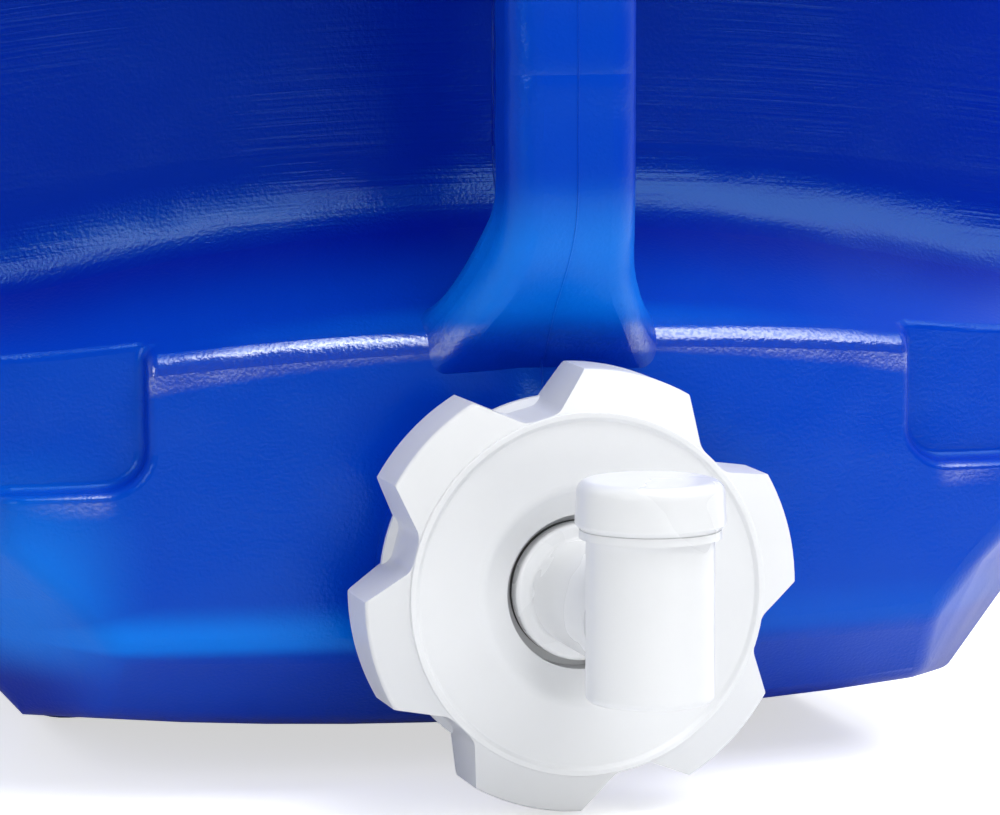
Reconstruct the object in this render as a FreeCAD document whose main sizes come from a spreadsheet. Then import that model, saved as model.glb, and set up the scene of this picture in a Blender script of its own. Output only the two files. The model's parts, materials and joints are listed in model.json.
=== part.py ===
import FreeCAD, Part
import math
import os

from FreeCAD import Placement, Rotation, Vector

# A rigid blow-moulded water container, lying in its dispensing position.
# X runs across, Y runs to the back, Z up. The container stands on z = 0,
# and the origin is under the middle of the whole object.
# In the helpers below, depth means the distance in front of the wall
# that carries the large neck.

os.makedirs("parts", exist_ok=True)
doc = FreeCAD.newDocument("water_container")

# Driving sizes in millimetres and degrees
SIZES = {
    # container body
    "width": 280.0,
    "height": 284.0,
    "back_depth": 363.0,
    "wall": 2.0,
    "corner_cut": 46.0,
    "corner_round": 22.0,
    "back_round": 28.0,
    "crown_radius": 700.0,
    "front_inset": 22.0,
    "side_bevel_depth": 45.0,
    "side_bevel_round": 12.0,
    "front_round": 8.0,
    # lower front of the body
    "low_edge": 33.0,
    "bevel_run": 22.0,
    "bevel_drop": 20.0,
    "bevel_foot_round": 14.0,
    "ramp_run": 78.0,
    "low_arch": 930.0,
    # corner facets
    "facet_inset": 21.0,
    "facet_depth": 5.0,
    "facet_height": 35.5,
    "facet_turn": 39.0,
    "facet_tip": 31.0,
    # recess behind the handle
    "shelf_edge": 103.0,
    "shelf_slope": 33.0,
    "shelf_round": 5.5,
    "shelf_arch": 950.0,
    "floor_depth": 43.0,
    "floor_round": 22.0,
    "recess_lift": 20.0,
    # side notches
    "notch_inset": 30.0,
    "notch_height": 31.5,
    "notch_depth": 5.5,
    "notch_round": 10.0,
    "notch_edge": 2.5,
    # handle
    "bar_width": 29.4,
    "bar_thick": 20.0,
    "bar_round": 7.0,
    "bar_reach": 26.3,
    "bend_rise": 34.5,
    "bend_radius": 20.0,
    "bend_angle": 37.0,
    "ramp_length": 37.0,
    "ramp_thick": 17.0,
    "flare_radius": 52.0,
    # large neck
    "floor_gap": 2.0,
    "neck_radius": 35.4,
    "neck_wall": 3.2,
    "neck_reach": 30.0,
    "collar_width": 3.1,
    "collar_reach": 6.0,
    "gasket_thick": 2.0,
    "gasket_spare": 0.5,
    # lug cap
    "cap_clearance": 0.9,
    "cap_wall": 3.5,
    "cap_disc": 2.6,
    "cap_depth": 21.1,
    "cap_edge_round": 0.5,
    "rim_width": 1.3,
    "rim_height": 0.8,
    "lip_width": 1.6,
    "lip_height": 1.6,
    "lug_reach": 8.7,
    "lug_drop": 4.2,
    "lug_base_half": 24.4,
    "lug_tip_half": 14.6,
    "lug_offset": 15.0,
    "lug_root_round": 4.0,
    "lug_edge_round": 1.2,
    "dish_width": 6.5,
    "dish_depth": 4.1,
    "dish_round": 4.0,
    "seat_gap": 1.9,
    "seat_drop": 9.2,
    "seat_floor": 3.0,
    "boss_wall": 2.6,
    # spigot
    "tube_bore": 7.5,
    "tube_wall": 4.4,
    "flange_width": 3.2,
    "flange_thick": 5.3,
    "flange_slope": 0.8,
    "washer_thick": 1.2,
    "tail_wall": 2.5,
    "tail_spare": 1.0,
    "tail_clearance": 0.3,
    "spout_reach": 44.9,
    "barrel_bore": 10.6,
    "barrel_wall": 2.8,
    "barrel_low": 15.4,
    "barrel_high": 19.0,
    "barrel_round": 1.5,
    "ring_width": 1.4,
    "ring_thick": 1.7,
    "nut_thick": 6.0,
    "nut_width": 6.5,
    "nut_round": 1.0,
    # turning knob and its plug
    "knob_overhang": 2.3,
    "knob_taper": 0.4,
    "knob_chamfer": 1.2,
    "knob_thick": 10.3,
    "knob_round": 2.6,
    "knob_wall": 2.2,
    "plug_clearance": 0.05,
    "plug_low": 10.5,
    "plug_wall": 2.55,
    "plug_edge_round": 0.4,
    "port_radius": 6.3,
    "ring_section": 0.8,
    "ring_slack": 0.05,
    "upper_ring": 14.0,
    "lower_ring": 8.6,
    # vent
    "vent_radius": 8.8,
    "vent_wall": 2.0,
    "vent_reach": 14.0,
    "vent_clearance": 0.4,
    "vent_gasket_thick": 1.5,
    "vent_cap_wall": 3.4,
    "vent_cap_disc": 2.1,
    "vent_cap_back": 5.5,
    "vent_cap_round": 1.2,
    "vent_flute": 1.1,
}
VENT_FLUTES = 18
LUGS = 6
NUT_SIDES = 6
# How near a point counts as the same place when edges are picked
NEAR = 3.0

sheet = doc.addObject("Spreadsheet::Sheet", "sizes")
for row, (name, value) in enumerate(SIZES.items(), start=1):
    sheet.set(f"A{row}", name)
    sheet.set(f"B{row}", str(value))
    sheet.setAlias(f"B{row}", name)
doc.recompute()


def mm(name):
    """A driving size, read back from the sheet."""
    return float(sheet.get(name))


FLAT = Placement()
UPRIGHT = Placement(Vector(), Rotation(Vector(1, 0, 0), 90))
SIDEWAYS = Placement(Vector(), Rotation(Vector(1, 1, 1), 120))
UP = Vector(0, 0, 1)
BACK = Vector(0, 1, 0)
ACROSS = Vector(1, 0, 0)

# Levels and widths on the front wall, and the panel above the handle that holds the vent
recess_middle = mm("height") / 2 + mm("recess_lift")
bend_start = mm("shelf_edge") + mm("bend_rise")
notch_low = mm("shelf_edge") - mm("notch_height")
front_half = mm("width") / 2 - mm("front_inset")
facet_across = front_half - mm("facet_inset")
notch_half = front_half - mm("notch_inset")
top_panel = (2 * recess_middle - mm("shelf_edge"), mm("height") - mm("low_edge"))
vent_height = sum(top_panel) / 2

# The cap and the spigot, built up from the neck, the tube and the barrel
cap_inside = mm("neck_radius") + mm("cap_clearance")
rim_radius = cap_inside + mm("cap_wall")
axis_height = rim_radius + mm("lug_reach") + mm("floor_gap")
cap_under = mm("neck_reach") + mm("gasket_thick")
cap_face = cap_under + mm("cap_disc")
cap_back = cap_face - mm("cap_depth")
seat_level = cap_face - mm("seat_drop")
tube_radius = mm("tube_bore") + mm("tube_wall")
tail_radius = mm("tube_bore") + mm("tail_wall")
tail_hole = tail_radius + mm("tail_clearance")
flange_radius = tube_radius + mm("flange_width")
seat_radius = flange_radius + mm("seat_gap")
barrel_depth = cap_face + mm("spout_reach")
barrel_radius = mm("barrel_bore") + mm("barrel_wall")
ring_high = mm("barrel_high") + mm("ring_thick")
knob_radius = barrel_radius + mm("knob_overhang")

wall_y = (barrel_depth + knob_radius - mm("back_depth")) / 2
body_place = Placement(Vector(0, wall_y, 0), Rotation())
cap_place = Placement(Vector(0, wall_y, axis_height), Rotation(Vector(1, 0, 0), 90))
vent_place = Placement(Vector(0, wall_y, vent_height), Rotation(Vector(1, 0, 0), 90))
barrel_place = Placement(Vector(0, wall_y - barrel_depth, axis_height), Rotation())


def grown(corners, gap):
    """The same outline (u, v, radius) with every side moved outwards by gap."""
    moved = []
    for i, (u, v, radius) in enumerate(corners):
        u0, v0, _ = corners[i - 1]
        u2, v2, _ = corners[(i + 1) % len(corners)]
        before = Vector(u - u0, v - v0, 0).normalize()
        after = Vector(u2 - u, v2 - v, 0).normalize()
        out1 = Vector(before.y, -before.x, 0)
        out2 = Vector(after.y, -after.x, 0)
        shift = gap / (1 + out1.dot(out2))
        convex = before.x * after.y - before.y * after.x > 0
        if radius > 0:
            radius = max(radius + (gap if convex else -gap), 0.2)
        moved.append((u + (out1.x + out2.x) * shift, v + (out1.y + out2.y) * shift, radius))
    return moved


def outline(corners):
    """Lines and tangent arcs round the corners (u, v, radius), in order."""
    arcs = []
    ends = []
    for i, (u, v, radius) in enumerate(corners):
        corner = Vector(u, v, 0)
        u0, v0, _ = corners[i - 1]
        u2, v2, _ = corners[(i + 1) % len(corners)]
        back = (Vector(u0, v0, 0) - corner).normalize()
        ahead = (Vector(u2, v2, 0) - corner).normalize()
        if radius <= 0:
            arcs.append(None)
            ends.append((corner, corner))
            continue
        half = back.getAngle(ahead) / 2
        run = radius / math.tan(half)
        inwards = (back + ahead).normalize()
        centre = corner + inwards * (radius / math.sin(half))
        first = corner + back * run
        last = corner + ahead * run
        arcs.append(Part.Arc(first, centre - inwards * radius, last))
        ends.append((first, last))
    shapes = []
    for i, arc in enumerate(arcs):
        if arc:
            shapes.append(arc)
        start = ends[i][1]
        stop = ends[(i + 1) % len(corners)][0]
        if (stop - start).Length > 1e-6:
            shapes.append(Part.LineSegment(start, stop))
    return shapes


def drawn(name, corners, place):
    """A sketch of an outline, lying in the given place."""
    sketch = doc.addObject("Sketcher::SketchObject", name)
    sketch.addGeometry(outline(corners), False)
    sketch.Placement = place
    return sketch


def made(kind, name, **values):
    """A document object with its properties set."""
    item = doc.addObject(kind, name)
    for key, value in values.items():
        setattr(item, key, value)
    return item


def bound(item, **links):
    """Ties properties of an object to the sheet."""
    for key, formula in links.items():
        words = formula.split()
        text = " ".join("sizes." + w if w in SIZES else w for w in words)
        item.setExpression(key, text)
    return item


def extruded(name, sketch, direction, start, length):
    """A straight body along a direction, from start to start + length."""
    sketch.Placement = Placement(
        sketch.Placement.Base + direction * start, sketch.Placement.Rotation
    )
    return made(
        "Part::Extrusion", name, Base=sketch, DirMode="Custom", Dir=direction,
        LengthFwd=length, Solid=True,
    )


def swept_about(name, sketch, centre_height, angle):
    """A body swept by a side profile about a line that runs front to back."""
    return made(
        "Part::Revolution", name, Source=sketch, Axis=BACK, Base=Vector(0, 0, centre_height),
        Angle=angle, Symmetric=True, Solid=True,
    )


def mirrored(name, source, height):
    return made("Part::Mirroring", name, Source=source, Base=Vector(0, 0, height), Normal=UP)


def joined(name, shapes):
    return made("Part::MultiFuse", name, Shapes=shapes)


def common(name, shapes):
    return made("Part::MultiCommon", name, Shapes=shapes)


def minus(name, base, tool):
    return made("Part::Cut", name, Base=base, Tool=tool)


def sharp_edges(shape, wanted, least=20.0):
    """Numbers of the edges whose faces meet at an angle, where wanted says so."""
    numbers = []
    for number, edge in enumerate(shape.Edges, start=1):
        if edge.Length < 0.5:
            continue
        middle = edge.valueAt((edge.FirstParameter + edge.LastParameter) / 2)
        if not wanted(middle):
            continue
        faces = shape.ancestorsOfType(edge, Part.Face)
        if len(faces) != 2:
            continue
        normals = []
        for face in faces:
            u, v = face.Surface.parameter(middle)
            normals.append(face.normalAt(u, v))
        if math.degrees(normals[0].getAngle(normals[1])) > least:
            numbers.append(number)
    return numbers


def softened(name, base, radius, wanted, least=20.0):
    """Rounds the sharp edges of an object that wanted picks."""
    doc.recompute()
    picked = sharp_edges(base.Shape, wanted, least)
    return made(
        "Part::Fillet", name, Base=base, Edges=[(n, radius, radius) for n in picked]
    )


def bevel_corners():
    """Side outline of what is cut away below the front: a bevel, then a long rise."""
    run = mm("bevel_run")
    foot = mm("low_edge") - mm("bevel_drop")
    steep = mm("bevel_drop") / run
    gentle = foot / mm("ramp_run")
    over = 20.0
    return [
        (-over, mm("low_edge") + over * steep, 0),
        (-over, -2 * over, 0),
        (run + mm("ramp_run") + over, -2 * over, 0),
        (run + mm("ramp_run") + over, -over * gentle, 0),
        (run, foot, mm("bevel_foot_round")),
    ]


def recess_corners():
    """Side outline of the lower half of the recess: shelf, round and floor."""
    rise = math.tan(math.radians(mm("shelf_slope")))
    over = 20.0
    top = recess_middle + over
    return [
        (-over, mm("shelf_edge") - over * rise, 0),
        (mm("floor_depth"), mm("shelf_edge") + mm("floor_depth") * rise, mm("floor_round")),
        (mm("floor_depth"), top, 0),
        (-over, top, 0),
    ]


def plain_form(tag, gap):
    """The closed form of the body without its handle, each side moved out by gap."""
    half = mm("width") / 2
    tall = mm("height")
    deep = mm("back_depth")
    over = 6.0
    crown_drop = front_half ** 2 / (2 * mm("crown_radius"))
    slope = (half - front_half) / (mm("side_bevel_depth") - crown_drop)
    nose = front_half - (crown_drop + over) * slope
    plan = [
        (-nose, -over, 0),
        (nose, -over, 0),
        (half, mm("side_bevel_depth"), mm("side_bevel_round")),
        (half, deep, mm("back_round")),
        (-half, deep, mm("back_round")),
        (-half, mm("side_bevel_depth"), mm("side_bevel_round")),
    ]
    cut = mm("corner_cut")
    soft = mm("corner_round")
    front = [
        (cut - half, 0, soft),
        (half - cut, 0, soft),
        (half, cut, soft),
        (half, tall - cut, soft),
        (half - cut, tall, soft),
        (cut - half, tall, soft),
        (-half, tall - cut, soft),
        (-half, cut, soft),
    ]
    side = [
        (-over, 0, 0),
        (deep, 0, mm("back_round")),
        (deep, tall, mm("back_round")),
        (-over, tall, 0),
    ]
    from_above = extruded(
        tag + "_plan", drawn(tag + "_plan_line", grown(plan, gap), FLAT), UP, 0, tall
    )
    from_front = extruded(
        tag + "_front", drawn(tag + "_front_line", grown(front, gap), UPRIGHT), BACK,
        -2 * over, deep + 4 * over,
    )
    from_side = extruded(
        tag + "_side", drawn(tag + "_side_line", grown(side, gap), SIDEWAYS), ACROSS,
        -mm("width"), 2 * mm("width"),
    )
    crown = made("Part::Cylinder", tag + "_crown", Radius=mm("crown_radius") + gap,
                 Height=2 * tall, Placement=Placement(
                     Vector(0, mm("crown_radius"), -tall / 2), Rotation()))
    bound(crown, Radius=f"crown_radius + {gap}")
    block = common(tag + "_block", [from_above, from_front, from_side, crown])
    bevel = swept_about(
        tag + "_bevel", drawn(tag + "_bevel_line", grown(bevel_corners(), -gap), SIDEWAYS),
        mm("low_edge") + mm("low_arch"), 26,
    )
    tools = [bevel, mirrored(tag + "_top_bevel", bevel, tall / 2)]
    turn = math.radians(mm("facet_turn"))
    tip = math.radians(mm("facet_tip"))
    for right in (-1, 1):
        for top in (False, True):
            out = Vector(
                right * math.cos(turn) * math.cos(tip), -math.sin(turn) * math.cos(tip),
                math.sin(tip) if top else -math.sin(tip),
            )
            at = Vector(right * facet_across, mm("facet_depth"),
                        tall - mm("facet_height") if top else mm("facet_height"))
            size = facet_across
            place = Placement(at + out * gap, Rotation(UP, out))
            place = place * Placement(Vector(-size, -size, 0), Rotation())
            tools.append(made(
                "Part::Box", f"{tag}_facet_{len(tools)}", Length=2 * size, Width=2 * size,
                Height=size, Placement=place,
            ))
    hull = minus(tag + "_hull", block, joined(tag + "_front_cuts", tools))
    if gap == 0:
        reach = mm("side_bevel_depth") + 2
        hull = softened(tag + "_soft_hull", hull, mm("front_round"), lambda p: p.y < reach)
    recess = swept_about(
        tag + "_recess", drawn(tag + "_recess_line", grown(recess_corners(), -gap), SIDEWAYS),
        mm("shelf_edge") - mm("shelf_arch"), 26,
    )
    both = joined(
        tag + "_recesses",
        [recess, mirrored(tag + "_top_recess", recess, recess_middle)],
    )
    form = minus(tag + "_waisted", hull, both)
    reach = recess_middle - mm("shelf_edge")

    def on_shelf_edge(p):
        """True at the height of a shelf's front edge, low or high."""
        return abs(abs(p.z - recess_middle) - reach) < NEAR

    if gap == 0:
        form = softened(
            tag + "_soft_shelf", form, mm("shelf_round"),
            lambda p: abs(p.x) < NEAR and p.y < NEAR and on_shelf_edge(p),
        )
    return form


def notch(tag, side, gap):
    """A shallow pocket at an outer corner of the front wall, open to the shelf."""
    top = 2 * mm("shelf_edge") - notch_low
    corners = [
        (notch_half, notch_low, mm("notch_round")),
        (mm("width"), notch_low, 0),
        (mm("width"), top, 0),
        (notch_half, top, 0),
    ]
    if side < 0:
        corners = [(-u, v, r) for u, v, r in reversed(corners)]
    name = tag + ("_right" if side > 0 else "_left")
    slab = extruded(
        name, drawn(name + "_line", grown(corners, -gap), UPRIGHT), BACK, -20, 60
    )
    core = made("Part::Cylinder", name + "_floor",
                Radius=mm("crown_radius") - mm("notch_depth") + gap, Height=2 * mm("height"),
                Placement=Placement(Vector(0, mm("crown_radius"), -50), Rotation()))
    return minus(name + "_pocket", slab, core)


def bar_line(name, gap, drop):
    """One section of the handle, drop millimetres down its middle line from the bend."""
    angle = math.radians(mm("bend_angle"))
    radius = mm("bend_radius")
    bend = radius * angle
    turn = min(max(drop / radius, 0), angle)
    back = radius * (1 - math.cos(turn))
    down = radius * math.sin(turn)
    if drop > bend:
        back += (drop - bend) * math.sin(angle)
        down += (drop - bend) * math.cos(angle)
    if drop < 0:
        down = drop
    part = min(max(down, 0) / mm("flare_radius"), 0.95)
    flare = mm("flare_radius") * (1 - math.sqrt(1 - part**2))
    share = min(2 * max(down, 0) / (mm("ramp_length") + mm("bend_radius")), 1)
    u = mm("bar_width") / 2 + flare
    v = (mm("bar_thick") + (mm("ramp_thick") - mm("bar_thick")) * share) / 2
    soft = mm("bar_round")
    corners = [(-u, -v, soft), (u, -v, soft), (u, v, soft), (-u, v, soft)]
    middle = Vector(0, mm("bar_thick") / 2 - mm("bar_reach") + back, bend_start - down)
    place = Placement(middle, Rotation(ACROSS, math.degrees(turn)))
    return drawn(name, grown(corners, gap), place)


def handle(tag, gap):
    """The two halves of the bar, each with the flared ramp that carries it."""
    bend = mm("bend_radius") * math.radians(mm("bend_angle"))
    straight = recess_middle - bend_start
    ramp = mm("ramp_length")
    stations = [bend + ramp, bend + ramp * 0.66, bend + ramp * 0.33, bend, bend * 0.6,
                bend * 0.2, -straight * 0.3, -straight * 0.65, -straight]
    lines = [bar_line(f"{tag}_line_{i}", gap, s) for i, s in enumerate(stations)]
    lower = made("Part::Loft", tag + "_lower", Sections=lines, Solid=True, Ruled=False)
    return [lower, mirrored(tag + "_upper", lower, recess_middle)]


def container():
    """The one-piece hollow body: outer form, handle and necks, less its cavity."""
    outer = plain_form("outer", 0)
    pockets = joined("notches", [notch("notch", -1, 0), notch("notch", 1, 0)])
    outer = minus("notched", outer, pockets)
    low = notch_low - 4
    high = mm("shelf_edge") + mm("notch_depth")

    def by_notch(p, floor):
        """True for a notch's edge, on its floor or at its rim."""
        inside = abs(p.x) > notch_half - 3 and low < p.z < high and p.y < 16
        level = p.x**2 / (2 * mm("crown_radius")) + mm("notch_depth") / 2
        beside = abs(p.x) < front_half - 2
        return inside and beside and (p.y > level) == floor

    outer = softened("soft_rims", outer, mm("notch_edge"), lambda p: by_notch(p, False))
    outer = softened("soft_notches", outer, mm("notch_edge"), lambda p: by_notch(p, True))
    hollow = plain_form("inner", -mm("wall"))
    wall = mm("wall")
    inner_pockets = joined("inner_notches", [notch("hollow_notch", -1, -wall),
                                             notch("hollow_notch", 1, -wall)])
    hollow = minus("hollow_notched", hollow, inner_pockets)
    neck = made("Part::Cylinder", "neck", Placement=cap_local(-mm("bevel_run") - wall))
    bound(neck, Radius="neck_radius", Height="neck_reach + bevel_run + wall")
    collar = made("Part::Cylinder", "neck_collar", Placement=cap_local(-mm("wall")))
    bound(collar, Radius="neck_radius + collar_width", Height="collar_reach + wall")
    bore = made("Part::Cylinder", "neck_bore", Placement=cap_local(-mm("bevel_run") - 2 * wall))
    bound(bore, Radius="neck_radius - neck_wall", Height="neck_reach + bevel_run + 3 * wall")
    vent = made("Part::Cylinder", "vent_neck", Placement=vent_local(-2 * mm("wall")))
    bound(vent, Radius="vent_radius", Height="vent_reach + 2 * wall")
    vent_bore = made("Part::Cylinder", "vent_bore", Placement=vent_local(-6 * mm("wall")))
    bound(vent_bore, Radius="vent_radius - vent_wall", Height="vent_reach + 7 * wall")
    solid = joined("container_solid", [outer, *handle("handle", 0), neck, collar, vent])
    cavity = joined("cavity", [hollow, *handle("handle_hollow", -wall), bore, vent_bore])
    return minus("container", solid, cavity)


def cap_local(start):
    """Local place of a round that stands out of the front wall on the cap's axis."""
    return Placement(Vector(0, -start, axis_height), Rotation(ACROSS, 90))


def vent_local(start):
    return Placement(Vector(0, -start, vent_height), Rotation(ACROSS, 90))


def plane(body, role):
    """One of a body's own origin planes."""
    return next(f for f in body.Origin.OriginFeatures if f.Role == role)


def new_body(name):
    return doc.addObject("PartDesign::Body", name)


def body_sketch(body, name, role, corners):
    """A sketch of an outline on one of the body's own planes."""
    sketch = body.newObject("Sketcher::SketchObject", name)
    sketch.AttachmentSupport = (plane(body, role), [""])
    sketch.MapMode = "FlatFace"
    sketch.addGeometry(outline(corners), False)
    return sketch


def turned(body, name, corners, kind="Revolution"):
    """A round feature about the body's own Z axis; corners are radius, depth, round."""
    sketch = body_sketch(body, name + "_line", "XZ_Plane", corners)
    feature = body.newObject("PartDesign::" + kind, name)
    feature.Profile = sketch
    feature.ReferenceAxis = (sketch, ["V_Axis"])
    feature.Angle = 360
    sketch.Visibility = False
    return feature


def lug_cap():
    """Six-lug screw cap with a dished middle that seats the spigot."""
    body = new_body("lug_cap")
    soft = mm("cap_edge_round")
    boss = seat_radius + mm("boss_wall")
    lug_radius = rim_radius + mm("lug_reach")
    lip_radius = rim_radius + mm("lip_width")
    ridge = cap_face + mm("rim_height")
    turned(body, "cap_shell", [
        (tail_hole, seat_level - mm("seat_floor"), 0),
        (boss, seat_level - mm("seat_floor"), 2 * soft),
        (boss, cap_under, 2 * soft),
        (cap_inside, cap_under, soft / 2),
        (cap_inside, cap_back, 0),
        (lug_radius, cap_back, mm("lug_edge_round")),
        (lug_radius, cap_face - mm("lug_drop"), mm("lug_edge_round")),
        (rim_radius, cap_face, 0),
        (rim_radius, ridge, soft * 0.7),
        (rim_radius - mm("rim_width"), ridge, soft * 0.7),
        (rim_radius - mm("rim_width") - mm("rim_height"), cap_face, soft),
        (seat_radius + mm("dish_width"), cap_face, mm("dish_round")),
        (seat_radius, cap_face - mm("dish_depth"), 0),
        (seat_radius, seat_level, soft / 2),
        (tail_hole, seat_level, 0),
    ])
    base = math.radians(180 / LUGS - mm("lug_base_half"))
    tip = math.radians(180 / LUGS - mm("lug_tip_half"))
    low = Vector(rim_radius, rim_radius * math.tan(base), 0)
    high = Vector(lug_radius * math.cos(tip), lug_radius * math.sin(tip), 0)
    far = high + (high - low)
    between = math.radians(mm("lug_offset") + 180 / LUGS)

    def round_axis(u, v):
        return (u * math.cos(between) - v * math.sin(between),
                u * math.sin(between) + v * math.cos(between))

    corners = [
        (*round_axis(low.x, -low.y), mm("lug_root_round")),
        (*round_axis(far.x, -far.y), 0),
        (*round_axis(far.x, far.y), 0),
        (*round_axis(low.x, low.y), mm("lug_root_round")),
    ]
    sketch = body_sketch(body, "gap_between_lugs", "XY_Plane", corners)
    gap = body.newObject("PartDesign::Pocket", "lug_gap")
    gap.Profile = sketch
    gap.Type = 1
    gap.Reversed = True
    pattern = body.newObject("PartDesign::PolarPattern", "lug_gaps")
    pattern.Originals = [gap]
    pattern.Axis = (sketch, ["N_Axis"])
    pattern.Angle = 360
    pattern.Occurrences = LUGS
    body.Tip = pattern
    turned(body, "cap_lip", [
        (cap_inside + soft, cap_back, 0),
        (lip_radius, cap_back, soft),
        (lip_radius, cap_back + mm("lip_height"), soft),
        (cap_inside + soft, cap_back + mm("lip_height") + lip_radius - cap_inside, 0),
    ])
    body.Placement = cap_place
    return body


def ring(name, inner, outer, low, high, place):
    """A flat round washer."""
    body = new_body(name)
    turned(body, name + "_ring", [
        (inner, low, 0), (outer, low, 0), (outer, high, 0), (inner, high, 0),
    ])
    body.Placement = place
    return body


def across_barrel(name, start, radius, height):
    """A round on the barrel's own upright axis, in the cap's directions."""
    item = made("Part::Cylinder", name, Placement=Placement(
        Vector(0, start, barrel_depth), Rotation(ACROSS, -90)))
    return bound(item, Radius=radius, Height=height)


def spigot():
    """Flanged tube with a threaded tail behind it and an upright barrel in front."""
    back_face = seat_level + mm("washer_thick")
    flange_face = back_face + mm("flange_thick")
    behind = mm("seat_floor") + mm("washer_thick") + mm("nut_thick") + mm("tail_spare")
    tail_end = seat_level - behind
    tube_end = barrel_depth - mm("barrel_bore") * 0.8
    body = new_body("spigot_stem")
    turned(body, "stem_turned", [
        (0, tail_end, 0),
        (tail_radius, tail_end, mm("cap_edge_round")),
        (tail_radius, back_face, 0),
        (flange_radius, back_face, mm("cap_edge_round")),
        (flange_radius, flange_face - mm("flange_slope"), mm("lug_edge_round")),
        (tube_radius, flange_face, mm("flange_slope")),
        (tube_radius, tube_end, 0),
        (0, tube_end, 0),
    ])
    upright = across_barrel("barrel_post", -mm("barrel_low"), "barrel_bore + barrel_wall",
                            "barrel_low + barrel_high")
    post = softened("barrel_soft", upright, mm("barrel_round"), lambda p: p.y < 0)
    crown = across_barrel("barrel_ring", mm("barrel_high"),
                          "barrel_bore + barrel_wall + ring_width", "ring_thick")
    outside = joined("spigot_outside", [body, post, crown])
    bore = across_barrel("barrel_bore_cut", -2 * mm("barrel_low"), "barrel_bore",
                         "3 * barrel_low + barrel_high")
    passage = made("Part::Cylinder", "tube_bore_cut",
                   Placement=Placement(Vector(0, 0, tail_end - 1), Rotation()))
    bound(passage, Radius="tube_bore", Height=f"{barrel_depth - tail_end + 1}")
    item = minus("spigot_body", outside, joined("spigot_bores", [bore, passage]))
    item.Placement = cap_place
    return item


def knob():
    """Round turning knob with the hollow valve plug that hangs from it."""
    body = new_body("valve_knob")
    plug = mm("barrel_bore") - mm("plug_clearance")
    plug_bore = plug - mm("plug_wall")
    groove = plug - mm("ring_section") * 2 - mm("ring_slack")
    half = mm("ring_section") + mm("ring_slack")
    top = ring_high + mm("knob_thick")
    chamfer = mm("knob_chamfer")
    turned(body, "knob_turned", [
        (plug_bore, -mm("plug_low"), 0),
        (plug, -mm("plug_low"), mm("plug_edge_round")),
        (plug, -mm("lower_ring") - half, 0),
        (groove, -mm("lower_ring") - half, 0),
        (groove, -mm("lower_ring") + half, 0),
        (plug, -mm("lower_ring") + half, 0),
        (plug, mm("upper_ring") - half, 0),
        (groove, mm("upper_ring") - half, 0),
        (groove, mm("upper_ring") + half, 0),
        (plug, mm("upper_ring") + half, 0),
        (plug, ring_high, 0),
        (knob_radius - chamfer, ring_high, 0),
        (knob_radius, ring_high + chamfer, mm("plug_edge_round")),
        (knob_radius - mm("knob_taper"), top, mm("knob_round")),
        (0, top, 0),
        (0, top - mm("knob_wall"), 0),
        (plug_bore, top - mm("knob_wall"), 2 * mm("plug_edge_round")),
    ])
    sketch = body.newObject("Sketcher::SketchObject", "port_line")
    sketch.AttachmentSupport = (plane(body, "YZ_Plane"), [""])
    sketch.MapMode = "FlatFace"
    sketch.addGeometry(Part.Circle(Vector(0, 0, 0), UP, mm("port_radius")), False)
    port = body.newObject("PartDesign::Pocket", "side_port")
    port.Profile = sketch
    port.Type = 0
    port.Length = barrel_radius
    port.Reversed = True
    body.Placement = barrel_place
    return body


def o_ring(name, height):
    """A round rubber ring in a groove of the valve plug."""
    item = made("Part::Torus", name)
    bound(item, Radius1="barrel_bore - plug_clearance - ring_section", Radius2="ring_section")
    item.Placement = barrel_place * Placement(Vector(0, 0, height), Rotation())
    return item


def vent_cap():
    """Small fluted screw cap of the air vent."""
    body = new_body("vent_cap")
    inside = mm("vent_radius") + mm("vent_clearance")
    outside = inside + mm("vent_cap_wall")
    under = mm("vent_reach") + mm("vent_gasket_thick")
    face = under + mm("vent_cap_disc")
    turned(body, "vent_cap_turned", [
        (0, under, 0),
        (inside, under, 0),
        (inside, mm("vent_cap_back"), 0),
        (outside, mm("vent_cap_back"), mm("cap_edge_round")),
        (outside, face, mm("vent_cap_round")),
        (0, face, 0),
    ])
    sketch = body.newObject("Sketcher::SketchObject", "flute_line")
    sketch.AttachmentSupport = (plane(body, "XY_Plane"), [""])
    sketch.MapMode = "FlatFace"
    at = Vector(outside + mm("vent_flute") * 0.4, 0, 0)
    sketch.addGeometry(Part.Circle(at, UP, mm("vent_flute")), False)
    flute = body.newObject("PartDesign::Pocket", "vent_flute")
    flute.Profile = sketch
    flute.Type = 1
    flute.Reversed = True
    pattern = body.newObject("PartDesign::PolarPattern", "vent_flutes")
    pattern.Originals = [flute]
    pattern.Axis = (sketch, ["N_Axis"])
    pattern.Angle = 360
    pattern.Occurrences = VENT_FLUTES
    body.Tip = pattern
    body.Placement = vent_place
    return body


def hex_nut():
    """Six-sided nut that clamps the spigot from inside the cap."""
    body = new_body("spigot_nut")
    high = seat_level - mm("seat_floor") - mm("washer_thick")
    low = high - mm("nut_thick")
    reach = tail_radius + mm("nut_width")
    corners = []
    for i in range(NUT_SIDES):
        angle = 2 * math.pi * i / NUT_SIDES
        corners.append((reach * math.cos(angle), reach * math.sin(angle), mm("nut_round")))
    sketch = body_sketch(body, "nut_line", "XY_Plane", corners)
    sketch.AttachmentOffset = Placement(Vector(0, 0, low), Rotation())
    pad = body.newObject("PartDesign::Pad", "nut_block")
    pad.Profile = sketch
    pad.setExpression("Length", "sizes.nut_thick")
    turned(body, "nut_bore", [
        (0, low - 1, 0), (tail_hole, low - 1, 0), (tail_hole, high + 1, 0), (0, high + 1, 0),
    ], kind="Groove")
    body.Placement = cap_place
    return body


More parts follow.
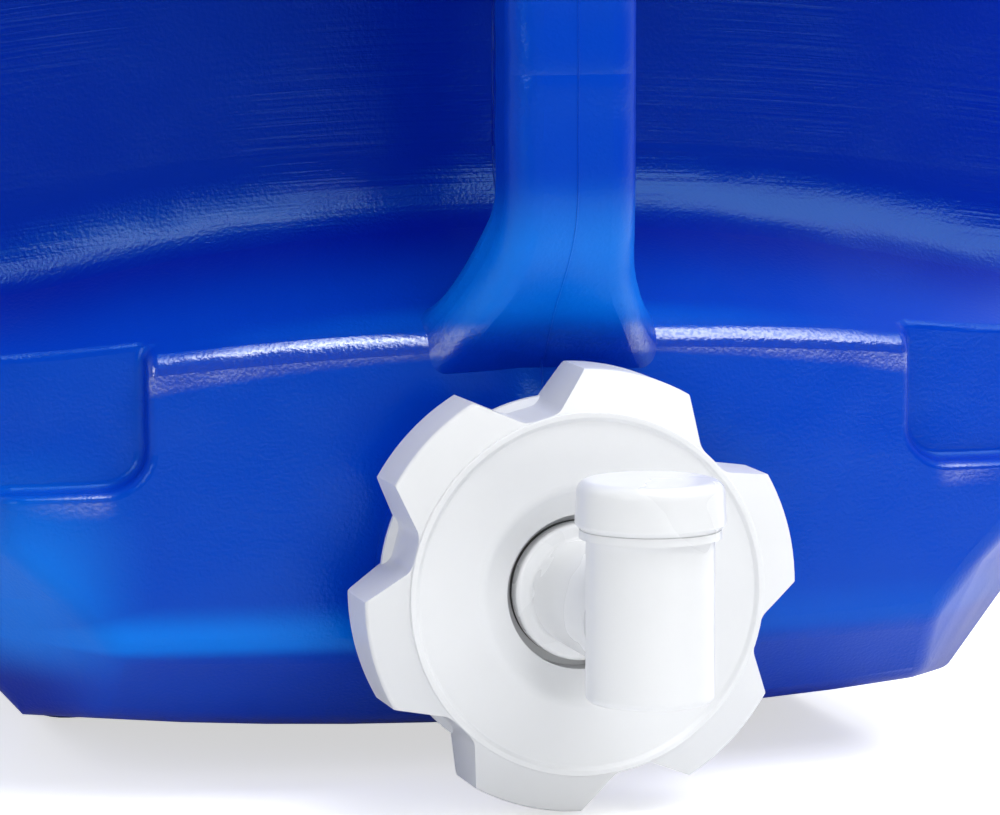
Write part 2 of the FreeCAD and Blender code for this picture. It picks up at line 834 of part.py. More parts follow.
def washer(name, top):
    """A rubber washer on the spigot's tail, under its flange or over its nut."""
    return ring(name, tail_hole, flange_radius, top - mm("washer_thick"), top, cap_place)


def cap_gasket():
    """The flat gasket between the neck's end and the cap."""
    spare = mm("gasket_spare")
    inner = mm("neck_radius") - mm("neck_wall") - spare
    outer = mm("neck_radius") + spare
    return ring("cap_gasket", inner, outer, mm("neck_reach"), cap_under, cap_place)


def vent_gasket():
    """The small gasket between the vent's end and its cap."""
    inner = mm("vent_radius") - mm("vent_wall")
    top = mm("vent_reach") + mm("vent_gasket_thick")
    return ring("vent_gasket", inner, mm("vent_radius"), mm("vent_reach"), top, vent_place)


pieces = {
    "container": container(),
    "lug_cap": lug_cap(),
    "cap_gasket": cap_gasket(),
    "spigot_body": spigot(),
    "spigot_outer_washer": washer("spigot_outer_washer", seat_level + mm("washer_thick")),
    "spigot_inner_washer": washer("spigot_inner_washer", seat_level - mm("seat_floor")),
    "spigot_nut": hex_nut(),
    "valve_knob": knob(),
    "valve_upper_ring": o_ring("valve_upper_ring", mm("upper_ring")),
    "valve_lower_ring": o_ring("valve_lower_ring", -mm("lower_ring")),
    "vent_cap": vent_cap(),
    "vent_gasket": vent_gasket(),
}
pieces["container"].Placement = body_place
doc.recompute()

for item in doc.Objects:
    if "Invalid" in item.State or "Error" in item.State:
        raise RuntimeError(f"{item.Name} failed: {item.State}")
for name, item in pieces.items():
    item.Label = name
    shape = item.Shape
    if shape.isNull() or not shape.isValid() or len(shape.Solids) != 1:
        raise RuntimeError(f"{name} is not one sound solid: {len(shape.Solids)}")
for name, item in pieces.items():
    item.Shape.exportStep(f"parts/{name}.step")
    print(name, round(item.Shape.Volume), "cubic mm")
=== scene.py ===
import json
import math

import bmesh
import bpy
from mathutils import Matrix, Vector
from mathutils.bvhtree import BVHTree


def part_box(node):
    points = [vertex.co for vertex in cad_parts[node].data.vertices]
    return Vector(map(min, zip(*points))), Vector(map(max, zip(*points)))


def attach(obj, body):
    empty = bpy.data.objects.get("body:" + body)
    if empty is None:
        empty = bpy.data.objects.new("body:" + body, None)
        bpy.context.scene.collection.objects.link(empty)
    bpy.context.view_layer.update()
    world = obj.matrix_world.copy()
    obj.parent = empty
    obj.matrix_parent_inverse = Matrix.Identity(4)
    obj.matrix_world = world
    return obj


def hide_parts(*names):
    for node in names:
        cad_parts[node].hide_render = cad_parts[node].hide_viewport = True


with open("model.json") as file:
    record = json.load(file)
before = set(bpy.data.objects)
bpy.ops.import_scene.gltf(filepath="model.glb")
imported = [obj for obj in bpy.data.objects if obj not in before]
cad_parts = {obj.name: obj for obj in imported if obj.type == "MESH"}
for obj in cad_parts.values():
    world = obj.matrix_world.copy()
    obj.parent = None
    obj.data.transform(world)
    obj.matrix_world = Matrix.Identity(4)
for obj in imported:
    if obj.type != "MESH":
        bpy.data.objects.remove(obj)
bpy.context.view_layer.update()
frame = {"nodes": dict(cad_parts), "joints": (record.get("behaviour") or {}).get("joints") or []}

nodes = frame["nodes"]


# The container: one blow-moulded shell of blue polyethylene, with its hollow
# carrying handle. The mould leaves a fine orange peel on it, and the marks of
# the cutter on the floor of the recess behind the handle.
def joint_place(name):
    """Where a cap's axis meets the plane of the front wall."""
    return Vector(next(joint for joint in frame["joints"] if joint["name"] == name)["pos_m"])


CAP_AXIS = joint_place("cap_turn")
WALL_Y = CAP_AXIS.y
WALL_BLUE = (0.0, 0.033, 0.45)
# Painted shade: the darker blue deep in the recess.
RECESS_SHADE_BLUE = (0.0, 0.005, 0.30)
# Painted light: the lighter blue on the handle's bend, the low band and the lower left corner.
PAINTED_LIGHT_BLUE = (0.0, 0.155, 0.74)
GLOSS_TINT = (0.0, 0.65, 1.0, 1.0)
WALL_ROUGHNESS = (0.3, 0.42)
COAT_WEIGHT = 0.055
COAT_IOR = 2.4
COAT_ROUGHNESS = 0.16
CLOUDS_PER_METRE = 9.0
WAVES_PER_METRE = 45.0
WAVE_SHARE = 10.0
PEEL_SIZE = 0.0008
PEEL_DEPTH = 0.00009
CUTTER_PITCH = 0.0016
CUTTER_DEPTH = 0.0005
CUTTER_BOW = 0.55
CUTTER_STRETCH = 0.012
PATCHES_PER_METRE = 14.0
PATCHES_SHOWN = (0.42, 0.62)
MARKS_STRENGTH = 0.6
UNEVENNESS = (0.2, 0.7, 0.8, 1.0)
SPECKS = (0.35, 0.6, 0.5, 1.0)

# Where the painted light and shade, the cutter's marks and the polish lie: each pair is where a
# share starts and where it is full, in metres of height, behind the wall or across.
RECESS_SHADE_BEHIND = (0.012, 0.036)
BEND_LOW, BEND_HIGH, BEND_BEHIND = (0.100, 0.112), (0.142, 0.122), (0.012, 0.002)
BAND_LOW, BAND_HIGH, BAND_ACROSS = (0.0325, 0.036), (0.046, 0.038), (0.02, -0.08)
BAND_LEAST = 0.15
CORNER_LOW, CORNER_HIGH = (0.024, 0.036), (0.085, 0.045)
CORNER_ACROSS, CORNER_BEHIND = (-0.085, -0.115), (0.08, 0.02)
MARKS_BEHIND, MARKS_END = (0.034, 0.041), (0.052, 0.050)
POLISH_BEHIND = (0.010, 0.006)
SHELF_LOW, SHELF_HIGH, SHELF_ARCH = (0.0985, 0.101), (0.108, 0.104), 1.02
LEDGE_LOW, LEDGE_HIGH, LEDGE_ACROSS = (0.064, 0.068), (0.079, 0.075), (0.094, 0.100)


def node_maker(tree):
    """A function that adds nodes to a tree and links or sets their inputs."""
    def node(kind, inputs=None, **settings):
        made = tree.nodes.new(kind)
        for key, value in settings.items():
            setattr(made, key, value)
        for key, value in (inputs or {}).items():
            if isinstance(value, bpy.types.NodeSocket):
                tree.links.new(value, made.inputs[key])
            else:
                made.inputs[key].default_value = value
        return made

    return node


def new_material(name):
    """A node material with a Principled shader, and a maker of further nodes."""
    material = bpy.data.materials.new(name)
    material.use_nodes = True
    tree = material.node_tree
    return material, tree.nodes["Principled BSDF"], node_maker(tree)


def connect(material, source, target):
    material.node_tree.links.new(source, target)


def dress(node_name, material):
    """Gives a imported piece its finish."""
    piece = nodes[node_name]
    piece.data.materials.clear()
    piece.data.materials.append(material)


def container_finish():
    material, shader, node = new_material("blue_polyethylene")
    place = node("ShaderNodeTexCoord").outputs["Object"]
    split = node("ShaderNodeSeparateXYZ", {"Vector": place})
    x, y, z = (split.outputs[axis] for axis in "XYZ")
    cloud = node("ShaderNodeTexNoise", {"Vector": place, "Scale": CLOUDS_PER_METRE,
                                        "Detail": 3.0})

    def span(value, start, stop, low=0.0, high=1.0):
        made = node("ShaderNodeMapRange", {"Value": value, "From Min": start, "From Max": stop,
                                           "To Min": low, "To Max": high},
                    interpolation_type="SMOOTHSTEP")
        return made.outputs[0]

    def straight(value, start, stop):
        return node("ShaderNodeMapRange", {"Value": value, "From Min": start,
                                           "From Max": stop}).outputs[0]

    def times(a, b):
        return node("ShaderNodeMath", {0: a, 1: b}, operation="MULTIPLY").outputs[0]

    def mixed(share, a, b):
        made = node("ShaderNodeMix", {"Factor": share}, data_type="VECTOR")
        ends = [entry for entry in made.inputs
                if entry.type == "VECTOR" and entry.name in ("A", "B")]
        for entry, value in zip(ends, (a, b)):
            if isinstance(value, bpy.types.NodeSocket):
                connect(material, value, entry)
            else:
                entry.default_value = value
        return next(entry for entry in made.outputs if entry.type == "VECTOR")

    def behind(reach):
        return span(y, WALL_Y + reach[0], WALL_Y + reach[1])

    def band(value, low, high):
        return times(span(value, *low), span(value, *high))

    def either(a, b):
        return node("ShaderNodeMath", {0: a, 1: b}, operation="MAXIMUM").outputs[0]

    # Painted light on the handle's bend, along the low band (most on the left) and at the lower
    # left corner, varied at random, and painted shade deeper in the recess.
    bend = times(band(z, BEND_LOW, BEND_HIGH), behind(BEND_BEHIND))
    low_band = times(band(z, BAND_LOW, BAND_HIGH), span(x, *BAND_ACROSS, BAND_LEAST, 1.0))
    corner = times(band(z, CORNER_LOW, CORNER_HIGH),
                   times(span(x, *CORNER_ACROSS), behind(CORNER_BEHIND)))
    painted_light_share = times(either(either(bend, low_band), corner),
                 span(cloud.outputs["Fac"], *UNEVENNESS))
    # Painted shade: deeper in the recess the blue turns darker.
    tone = mixed(behind(RECESS_SHADE_BEHIND), WALL_BLUE, RECESS_SHADE_BLUE)
    connect(material, mixed(painted_light_share, tone, PAINTED_LIGHT_BLUE), shader.inputs["Base Color"])

    # The orange peel and the slow waves of the blown wall.
    peel = node("ShaderNodeTexNoise", {"Vector": place, "Scale": 1 / PEEL_SIZE, "Detail": 2.0})
    wave = node("ShaderNodeTexNoise", {"Vector": place, "Scale": WAVES_PER_METRE,
                                       "Detail": 1.0})
    height = node("ShaderNodeMath", {0: wave.outputs["Fac"], 1: WAVE_SHARE,
                                     2: peel.outputs["Fac"]}, operation="MULTIPLY_ADD")
    skin = node("ShaderNodeBump", {"Height": height.outputs[0], "Distance": PEEL_DEPTH,
                                   "Strength": 1.0})

    # The cutter's marks: arched lines in patches, on the recess floor only.
    square = times(x, x)
    arched = node("ShaderNodeMath", {0: square, 1: CUTTER_BOW, 2: z}, operation="MULTIPLY_ADD")
    lines_at = node("ShaderNodeCombineXYZ", {"X": x, "Y": y, "Z": arched.outputs[0]})
    drawn_out = node("ShaderNodeMapping", {"Vector": lines_at.outputs[0],
                                           "Scale": (CUTTER_STRETCH, 0.0, 1.0)})
    lines = node("ShaderNodeTexNoise", {"Vector": drawn_out.outputs[0],
                                        "Scale": 1 / CUTTER_PITCH, "Detail": 2.0,
                                        "Roughness": 0.6})
    patches = node("ShaderNodeTexNoise", {"Vector": place, "Scale": PATCHES_PER_METRE,
                                          "Detail": 2.0})
    shown = straight(patches.outputs["Fac"], *PATCHES_SHOWN)
    on_floor = times(straight(y, WALL_Y + MARKS_BEHIND[0], WALL_Y + MARKS_BEHIND[1]),
                     straight(y, WALL_Y + MARKS_END[0], WALL_Y + MARKS_END[1]))
    cut = times(times(on_floor, shown), lines.outputs["Fac"])
    marks = node("ShaderNodeBump", {"Height": cut, "Distance": CUTTER_DEPTH,
                                    "Strength": MARKS_STRENGTH,
                                    "Normal": skin.outputs["Normal"]})
    connect(material, marks.outputs["Normal"], shader.inputs["Normal"])

    # Gloss: even on the walls, and polished in specks along the worn edges of
    # the shelf and of the notches' ledges.
    rough = node("ShaderNodeMapRange", {"Value": cloud.outputs["Fac"],
                                        "To Min": WALL_ROUGHNESS[0],
                                        "To Max": WALL_ROUGHNESS[1]})
    connect(material, rough.outputs[0], shader.inputs["Roughness"])
    edge_at = node("ShaderNodeMath", {0: square, 1: SHELF_ARCH, 2: z},
                   operation="MULTIPLY_ADD").outputs[0]
    aside = node("ShaderNodeMath", {0: x}, operation="ABSOLUTE").outputs[0]
    shelf = band(edge_at, SHELF_LOW, SHELF_HIGH)
    ledge = times(band(z, LEDGE_LOW, LEDGE_HIGH), span(aside, *LEDGE_ACROSS))
    worn = times(times(either(shelf, ledge), behind(POLISH_BEHIND)),
                 span(peel.outputs["Fac"], *SPECKS))
    coat = node("ShaderNodeMapRange", {"Value": worn, "To Min": COAT_WEIGHT})
    connect(material, coat.outputs[0], shader.inputs["Coat Weight"])
    connect(material, marks.outputs["Normal"], shader.inputs["Coat Normal"])
    shader.inputs["Coat IOR"].default_value = COAT_IOR
    shader.inputs["Coat Roughness"].default_value = COAT_ROUGHNESS
    shader.inputs["Specular Tint"].default_value = GLOSS_TINT
    return material


blue = container_finish()
dress("container", blue)


# The container's visible skin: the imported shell, whose shelf edges bow down and
# whose lower edges bow up at the sides a little more than the solid's do, with
# a shallow dip in the handle's foot.
PACKED_SHELF_BOW = 0.950
SHELF_BOW = 0.490
PACKED_EDGE_BOW = 0.930
EDGE_BOW = 0.563
BOW_REACH = 0.112
RECESS_MIDDLE = 0.162
DENT_DEPTH = 0.0035
DENT_HALF = 0.015
DENT_BEHIND = (0.006, 0.012)
DENT_LOW, DENT_HIGH = (0.086, 0.098), (0.104, 0.134)
SHELF_BOW_LOW, SHELF_BOW_HIGH = (0.062, 0.095), (0.118, 0.150)
EDGE_BOW_LOW, EDGE_BOW_HIGH = (0.015, 0.033), (0.036, 0.062)
EDGE_BOW_BEHIND = (0.03, 0.075)
BODY_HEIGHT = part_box("container")[1].z


def ramp(value, start, stop):
    """Rises smoothly from 0 at start to 1 at stop."""
    share = min(max((value - start) / (stop - start), 0.0), 1.0)
    return share * share * (3 - 2 * share)


def hump(value, low, high):
    """Rises smoothly from 0 to 1 through low, and falls back to 0 through high."""
    return ramp(value, *low) * (1 - ramp(value, *high))


def dented(point):
    """How far a point of the handle's foot moves back: the foot dips between its two ridges."""
    across = max(1 - (point.x / DENT_HALF) ** 2, 0.0) ** 2
    front = 1 - ramp(point.y - WALL_Y, *DENT_BEHIND)
    return DENT_DEPTH * across * front * hump(point.z, DENT_LOW, DENT_HIGH)


def bowed(point):
    """How far a point of the shell moves in height."""
    x = min(abs(point.x), BOW_REACH)
    bow = x * x / 2
    shift = 0.0
    for z, sign in ((point.z, 1), (2 * RECESS_MIDDLE - point.z, -1)):
        share = hump(z, SHELF_BOW_LOW, SHELF_BOW_HIGH)
        shift -= sign * bow * (1 / SHELF_BOW - 1 / PACKED_SHELF_BOW) * share
    front = 1 - ramp(point.y - WALL_Y, *EDGE_BOW_BEHIND)
    for z, sign in ((point.z, 1), (BODY_HEIGHT - point.z, -1)):
        share = hump(z, EDGE_BOW_LOW, EDGE_BOW_HIGH) * front
        shift += sign * bow * (1 / EDGE_BOW - 1 / PACKED_EDGE_BOW) * share
    return shift


def plain_mesh(source):
    """The evaluated mesh of a linked object, which goes."""
    bpy.context.view_layer.update()
    mesh = bpy.data.meshes.new_from_object(source.evaluated_get(
        bpy.context.evaluated_depsgraph_get()))
    source.modifiers.clear()
    bpy.data.objects.remove(source)
    return mesh


def container_piece(name, mesh):
    """Adds a mesh to the scene as a piece of the container."""
    piece = bpy.data.objects.new(name, mesh)
    bpy.context.scene.collection.objects.link(piece)
    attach(piece, "container")
    return piece


skin_mesh = nodes["container"].data.copy()
for vertex in skin_mesh.vertices:
    vertex.co += Vector((0, dented(vertex.co), bowed(vertex.co)))
skin_mesh.update()
skin = container_piece("container_skin", skin_mesh)
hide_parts("container")


# The parting line: the fine ridge that the two halves of the mould leave all
# round the container and its handle, doubled on the floor of the recess.
SEAM_RADIUS = 0.00022
FLOOR_LINE_GAP = 0.0027
HANDLE_DEPTH, HANDLE_HALF = 0.02, 0.07
FLOOR_DEPTH, FLOOR_HALF = 0.036, 0.045
CLEAR_OF_WALL = 0.001
SAME_PLACE = 1e-5
LEAST_POINTS = 3


def on_handle_front(point):
    return point.y < WALL_Y + HANDLE_DEPTH and abs(point.z - RECESS_MIDDLE) < HANDLE_HALF


def on_recess_floor(point):
    return point.y > WALL_Y + FLOOR_DEPTH and abs(point.z - RECESS_MIDDLE) < FLOOR_HALF


def parting_edges(mesh):
    """Pairs of points along the shell's outer side, where the parting plane cuts it."""
    work = bmesh.new()
    work.from_mesh(mesh)
    tree = BVHTree.FromBMesh(work)
    cut = bmesh.ops.bisect_plane(work, geom=work.verts[:] + work.edges[:] + work.faces[:],
                                 dist=1e-7, plane_co=(0, 0, 0), plane_no=(1, 0, 0))
    pairs = []
    for edge in cut["geom_cut"]:
        if not isinstance(edge, bmesh.types.BMEdge) or not edge.link_faces:
            continue
        out = sum((face.normal for face in edge.link_faces), Vector())
        out.x = 0
        middle = (edge.verts[0].co + edge.verts[1].co) / 2
        start = middle + out.normalized() * CLEAR_OF_WALL
        aside = tree.ray_cast(start, Vector((1, 0, 0)))[0] is None
        ahead = on_handle_front(start) and tree.ray_cast(start, Vector((0, -1, 0)))[0] is None
        if aside or ahead:
            pairs.append((edge.verts[0].co.copy(), edge.verts[1].co.copy()))
    work.free()
    return pairs


def chained(pairs):
    """Joins point pairs into long lines."""
    links = {}
    places = {}
    for pair in pairs:
        keys = [tuple(round(c / SAME_PLACE) for c in point) for point in pair]
        if keys[0] == keys[1]:
            continue
        for key, point in zip(keys, pair):
            places[key] = point
        links.setdefault(keys[0], set()).add(keys[1])
        links.setdefault(keys[1], set()).add(keys[0])
    lines = []
    while links:
        ends = [key for key in links if len(links[key]) == 1]
        at = ends[0] if ends else next(iter(links))
        line = [places[at]]
        while at in links and links[at]:
            ahead = links[at].pop()
            if not links[at]:
                del links[at]
            links[ahead].discard(at)
            if not links[ahead]:
                del links[ahead]
            at = ahead
            line.append(places[at])
        lines.append(line)
    return lines


def parting_line():
    curve = bpy.data.curves.new("parting_line", "CURVE")
    curve.dimensions = "3D"
    curve.bevel_depth = SEAM_RADIUS
    curve.bevel_resolution = 2
    for line in chained(parting_edges(skin_mesh)):
        if len(line) < LEAST_POINTS:
            continue
        offsets = (0.0,)
        if all(on_recess_floor(point) for point in line[1:-1]):
            offsets = (-FLOOR_LINE_GAP / 2, FLOOR_LINE_GAP / 2)
        for offset in offsets:
            spline = curve.splines.new("POLY")
            spline.points.add(len(line) - 1)
            for target, point in zip(spline.points, line):
                target.co = (offset, point.y, point.z, 1.0)
    source = bpy.data.objects.new("parting_curve", curve)
    bpy.context.scene.collection.objects.link(source)
    mesh = plain_mesh(source)
    mesh.materials.clear()
    mesh.materials.append(blue)
    container_piece("parting_line", mesh)


parting_line()


# The screw threads of the two necks: one moulded ridge each, which runs out at
# both ends. They show when the caps are unscrewed.
NECK_THREAD = {"start": 0.0105, "radius": 0.0354, "height": 0.00075, "pitch": 0.006,
               "turns": 2.4}
VENT_THREAD = {"start": 0.0062, "radius": 0.0088, "height": 0.0003, "pitch": 0.004,
               "turns": 1.6}
THREAD_STEPS = 180
THREAD_SIDES = 12
THREAD_RUN_OUT = 0.08
VENT_AXIS = joint_place("vent_turn")


def thread_tree():
    """Geometry Nodes that sweep a rounded ridge along a screw line that fades at its ends."""
    tree = bpy.data.node_groups.new("thread", "GeometryNodeTree")
    sockets = {"radius": "NodeSocketFloat", "height": "NodeSocketFloat",
               "pitch": "NodeSocketFloat", "turns": "NodeSocketFloat",
               "material": "NodeSocketMaterial"}
    for name, kind in sockets.items():
        tree.interface.new_socket(name, in_out="INPUT", socket_type=kind)
    tree.interface.new_socket("Geometry", in_out="OUTPUT", socket_type="NodeSocketGeometry")
    given = tree.nodes.new("NodeGroupInput").outputs
    made = tree.nodes.new("NodeGroupOutput").inputs

    node = node_maker(tree)
    smooth = {"interpolation_type": "SMOOTHSTEP"}
    rise = node("ShaderNodeMath", {0: given["pitch"], 1: given["turns"]}, operation="MULTIPLY")
    spiral = node("GeometryNodeCurveSpiral", {
        "Resolution": THREAD_STEPS, "Rotations": given["turns"], "Start Radius": given["radius"],
        "End Radius": given["radius"], "Height": rise.outputs[0]})
    along = node("GeometryNodeSplineParameter").outputs["Factor"]
    begun = node("ShaderNodeMapRange", {"Value": along, "From Max": THREAD_RUN_OUT}, **smooth)
    ended = node("ShaderNodeMapRange", {"Value": along, "From Min": 1.0,
                                        "From Max": 1 - THREAD_RUN_OUT}, **smooth)
    share = node("ShaderNodeMath", {0: begun.outputs[0], 1: ended.outputs[0]},
                 operation="MULTIPLY")
    size = node("ShaderNodeMath", {0: share.outputs[0], 1: given["height"]},
                operation="MULTIPLY")
    profile = node("GeometryNodeCurvePrimitiveCircle", {"Resolution": THREAD_SIDES,
                                                        "Radius": 1.0}, mode="RADIUS")
    ridge = node("GeometryNodeCurveToMesh", {
        "Curve": spiral.outputs[0], "Profile Curve": profile.outputs[0],
        "Scale": size.outputs[0], "Fill Caps": True})
    real = node("GeometryNodeRealizeInstances", {"Geometry": ridge.outputs[0]})
    dressed = node("GeometryNodeSetMaterial", {"Geometry": real.outputs[0],
                                               "Material": given["material"]})
    tree.links.new(dressed.outputs[0], made["Geometry"])
    return tree


def thread(name, tree, axis, start, **sizes):
    """Adds the ridge round a neck, start metres in front of the wall."""
    source = bpy.data.objects.new(name + "_source", bpy.data.meshes.new(name + "_source"))
    bpy.context.scene.collection.objects.link(source)
    modifier = source.modifiers.new("thread", "NODES")
    modifier.node_group = tree
    for item in tree.interface.items_tree:
        if item.in_out == "INPUT":
            modifier[item.identifier] = blue if item.name == "material" else sizes[item.name]
    mesh = plain_mesh(source)
    mesh.transform(Matrix.Translation(axis - Vector((0, start, 0)))
                   @ Matrix.Rotation(math.radians(90), 4, "X"))
    mesh.shade_smooth()
    container_piece(name, mesh)


ridge_tree = thread_tree()
thread("neck_thread", ridge_tree, CAP_AXIS, **NECK_THREAD)
thread("vent_thread", ridge_tree, VENT_AXIS, **VENT_THREAD)


# The lug cap, the spigot, its knob and the vent cap: injection mouldings of
# natural white polyethylene with a silky surface.
MOULDED_WHITE = (0.76, 0.77, 0.785)
CAP_ROUGHNESS = 0.34
SPIGOT_ROUGHNESS = 0.28
ROUGHNESS_SPREAD = 0.04
FLOWS_PER_METRE = 30.0
FLOW_SHADE = 0.97
GRAINS_PER_METRE = 900.0
GRAIN_DEPTH = 0.00002
GRAIN_STRENGTH = 0.6
TRANSLUCENCY = 0.15
TRANSLUCENT_DEPTH = 0.003


def white_finish(name, roughness):
    material, shader, node = new_material(name)
    place = node("ShaderNodeTexCoord").outputs["Object"]
    flow = node("ShaderNodeTexNoise", {"Vector": place, "Scale": FLOWS_PER_METRE,
                                       "Detail": 3.0})
    shade = node("ShaderNodeMapRange", {"Value": flow.outputs["Fac"], "To Min": FLOW_SHADE,
                                        "To Max": 1.0})
    tone = node("ShaderNodeVectorMath", {0: MOULDED_WHITE}, operation="SCALE")
    connect(material, shade.outputs[0], tone.inputs["Scale"])
    connect(material, tone.outputs[0], shader.inputs["Base Color"])
    grain = node("ShaderNodeTexNoise", {"Vector": place, "Scale": GRAINS_PER_METRE,
                                        "Detail": 2.0})
    bump = node("ShaderNodeBump", {"Height": grain.outputs["Fac"], "Distance": GRAIN_DEPTH,
                                   "Strength": GRAIN_STRENGTH})
    connect(material, bump.outputs["Normal"], shader.inputs["Normal"])
    rough = node("ShaderNodeMapRange", {"Value": flow.outputs["Fac"],
                                        "To Min": roughness - ROUGHNESS_SPREAD,
                                        "To Max": roughness + ROUGHNESS_SPREAD})
    connect(material, rough.outputs[0], shader.inputs["Roughness"])
    shader.inputs["Subsurface Weight"].default_value = TRANSLUCENCY
    shader.inputs["Subsurface Radius"].default_value = (1.0, 1.0, 1.0)
    shader.inputs["Subsurface Scale"].default_value = TRANSLUCENT_DEPTH
    return material


cap_white = white_finish("cap_polyethylene", CAP_ROUGHNESS)
spigot_white = white_finish("spigot_polyethylene", SPIGOT_ROUGHNESS)
for name in ("lug_cap", "spigot_nut", "vent_cap"):
    dress(name, cap_white)
for name in ("spigot_body", "valve_knob"):
    dress(name, spigot_white)


# The gaskets, washers and O-rings: black rubber, held between the pieces that
# they seal. Only the rim of the spigot's outer washer shows.
SEAL_BLACK = (0.03, 0.03, 0.027, 1.0)
SEAL_ROUGHNESS = (0.55, 0.75)
DUST_PER_METRE = 400.0
DUST_DEPTH = 0.00003


def rubber_finish():
    material, shader, node = new_material("seal_rubber")
    place = node("ShaderNodeTexCoord").outputs["Object"]
    dust = node("ShaderNodeTexNoise", {"Vector": place, "Scale": DUST_PER_METRE,
                                       "Detail": 3.0})
    rough = node("ShaderNodeMapRange", {"Value": dust.outputs["Fac"],
                                        "To Min": SEAL_ROUGHNESS[0],
                                        "To Max": SEAL_ROUGHNESS[1]})
    connect(material, rough.outputs[0], shader.inputs["Roughness"])
    bump = node("ShaderNodeBump", {"Height": dust.outputs["Fac"], "Distance": DUST_DEPTH})
    connect(material, bump.outputs["Normal"], shader.inputs["Normal"])
    shader.inputs["Base Color"].default_value = SEAL_BLACK
    return material


rubber = rubber_finish()
for name in ("cap_gasket", "vent_gasket", "spigot_outer_washer", "spigot_inner_washer",
             "valve_upper_ring", "valve_lower_ring"):
    dress(name, rubber)


# The studio: a white table under a large lamp at the top right, a strip above and a
# lamp at the left, with fill from the front, low down and on the table at the right.
# The room and the table well in front are dim, but look white from the camera.
FLOOR_SIZE = 12.0
TABLE_WHITE = 0.86
FAR_GREY = 0.2
TABLE_REACH = 0.55
TABLE_FADE = 0.15
TABLE_ROUGHNESS = 0.9
TABLE_GLOW = 0.62
ROOM_TINT = (0.9, 0.95, 1.0, 1.0)
ROOM_TURN = (-0.3, 0.5)
ROOM_FRONT = 0.08
ROOM_BACK = 0.8


def floor():
    mesh = bpy.data.meshes.new("floor")
    half = FLOOR_SIZE / 2
    mesh.from_pydata([(-half, -half, 0), (half, -half, 0), (half, half, 0), (-half, half, 0)],
                     [], [(0, 1, 2, 3)])
    table = bpy.data.objects.new("floor", mesh)
    bpy.context.scene.collection.objects.link(table)
    material, shader, node = new_material("table_white")
    place = node("ShaderNodeTexCoord").outputs["Object"]
    y = node("ShaderNodeSeparateXYZ", {"Vector": place}).outputs["Y"]
    near = node("ShaderNodeMapRange", {"Value": y, "From Min": -TABLE_REACH - TABLE_FADE,
                                       "From Max": -TABLE_REACH, "To Min": FAR_GREY,
                                       "To Max": TABLE_WHITE})
    path = node("ShaderNodeLightPath").outputs["Is Camera Ray"]
    seen = node("ShaderNodeMath", {0: path, 1: TABLE_WHITE}, operation="MULTIPLY")
    tone = node("ShaderNodeMath", {0: near.outputs[0], 1: seen.outputs[0]},
                operation="MAXIMUM")
    connect(material, tone.outputs[0], shader.inputs["Base Color"])
    shader.inputs["Roughness"].default_value = TABLE_ROUGHNESS
    shader.inputs["Specular IOR Level"].default_value = 0.0
    glow = node("ShaderNodeMath", {0: path, 1: TABLE_GLOW}, operation="MULTIPLY")
    shader.inputs["Emission Color"].default_value = (1.0, 1.0, 1.0, 1.0)
    connect(material, glow.outputs[0], shader.inputs["Emission Strength"])
    mesh.materials.append(material)


def room():
    world = bpy.data.worlds.new("room")
    bpy.context.scene.world = world
    world.use_nodes = True
    tree = world.node_tree
    node = node_maker(tree)
    towards = node("ShaderNodeTexCoord").outputs["Generated"]
    y = node("ShaderNodeSeparateXYZ", {0: towards}).outputs["Y"]
    fade = node("ShaderNodeMapRange", {"Value": y, "From Min": ROOM_TURN[0],
                                       "From Max": ROOM_TURN[1], "To Min": ROOM_FRONT,
                                       "To Max": ROOM_BACK})
    lit = node("ShaderNodeBackground", {"Color": ROOM_TINT, "Strength": fade.outputs[0]})
    white = node("ShaderNodeBackground", {"Color": (1.0, 1.0, 1.0, 1.0), "Strength": 1.0})
    seen = node("ShaderNodeLightPath").outputs["Is Camera Ray"]
    mix = node("ShaderNodeMixShader", {0: seen, 1: lit.outputs[0], 2: white.outputs[0]})
    tree.links.new(mix.outputs[0], tree.nodes["World Output"].inputs["Surface"])


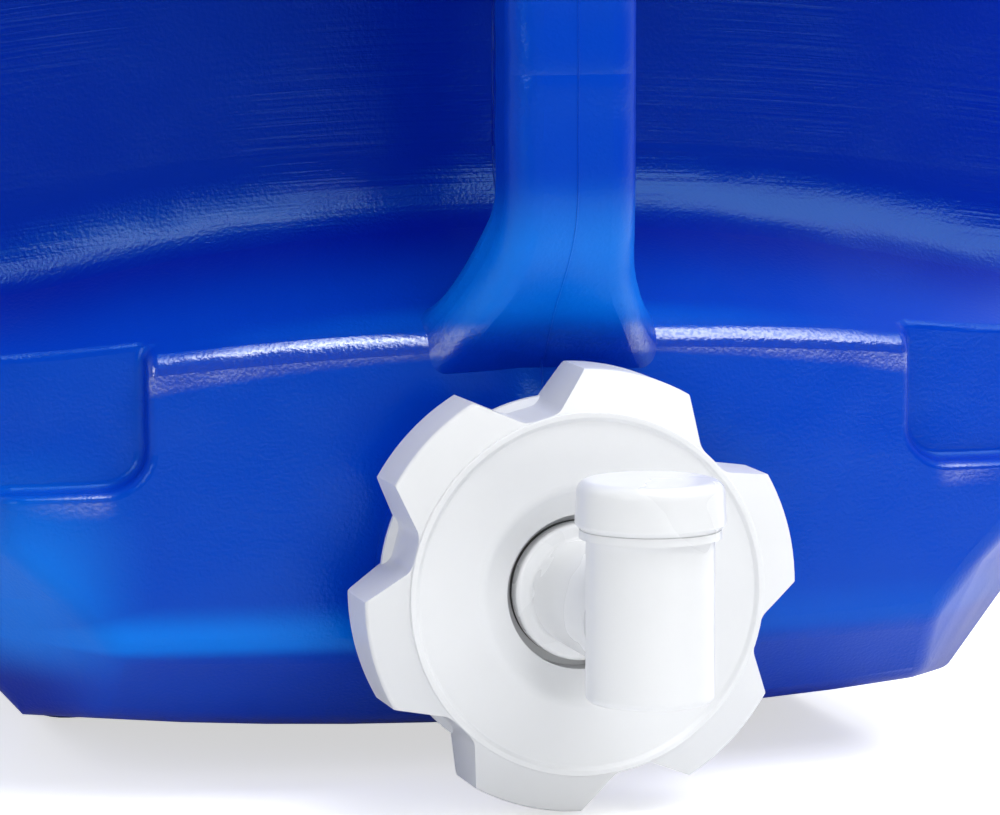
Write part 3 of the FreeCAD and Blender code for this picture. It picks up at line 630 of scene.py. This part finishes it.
def lamp(name, place, target, size, radiance, glossy=True):
    """A rectangular soft lamp at place that faces target. Where glossy is False, it fills
    in without a reflection of its own."""
    data = bpy.data.lights.new(name, "AREA")
    data.shape = "RECTANGLE"
    data.size, data.size_y = size
    data.energy = radiance * size[0] * size[1] * math.pi
    soft = bpy.data.objects.new(name, data)
    bpy.context.scene.collection.objects.link(soft)
    soft.location = place
    towards = Vector(target) - Vector(place)
    soft.rotation_euler = towards.to_track_quat("-Z", "Y").to_euler()
    soft.visible_camera = False
    soft.visible_glossy = glossy


floor()
room()
lamp("key_lamp", place=(0.42, -0.62, 0.95), target=(0.0, -0.1, 0.1), size=(0.9, 0.85),
     radiance=3.7)
lamp("left_lamp", place=(-0.95, -0.85, 0.5), target=(0.0, -0.1, 0.08), size=(0.5, 0.5),
     radiance=4.2)
lamp("floor_lamp", place=(0.5, 0.15, 0.4), target=(0.32, 0.0, 0.0), size=(0.3, 0.3),
     radiance=9.0, glossy=False)
lamp("edge_lamp", place=(0.1, -0.2, 1.0), target=(0.0, -0.15, 0.1), size=(1.1, 0.3),
     radiance=3.8)
lamp("front_lamp", place=(-0.4, -1.9, 0.7), target=(0.0, -0.1, 0.1), size=(1.6, 1.0),
     radiance=0.8, glossy=False)
lamp("low_lamp", place=(0.1, -1.1, 0.08), target=(0.0, -0.15, 0.08), size=(1.2, 0.12),
     radiance=3.0, glossy=False)


# The camera stands low and to the left of the front wall, at the photograph's
# angle.
CAMERA_YAW = math.radians(15.52)
CAMERA_PITCH = math.radians(7.05)
CAMERA_DISTANCE = 1.1195
FOCAL = 182.66
SENSOR_WIDTH = 36.0
NEAR_CLIP, FAR_CLIP = 0.05, 50.0
AIM = CAP_AXIS + Vector((-0.01017, 0.0, 0.03681))


def camera():
    data = bpy.data.cameras.new("camera")
    data.lens = FOCAL
    data.sensor_width = SENSOR_WIDTH
    data.clip_start, data.clip_end = NEAR_CLIP, FAR_CLIP
    eye = bpy.data.objects.new("camera", data)
    bpy.context.scene.collection.objects.link(eye)
    ahead = Vector((math.sin(CAMERA_YAW) * math.cos(CAMERA_PITCH),
                    math.cos(CAMERA_YAW) * math.cos(CAMERA_PITCH), -math.sin(CAMERA_PITCH)))
    eye.location = AIM - ahead * CAMERA_DISTANCE
    eye.rotation_euler = ahead.to_track_quat("-Z", "Y").to_euler()
    bpy.context.scene.camera = eye


camera()
bpy.context.scene.view_settings.view_transform = "Standard"
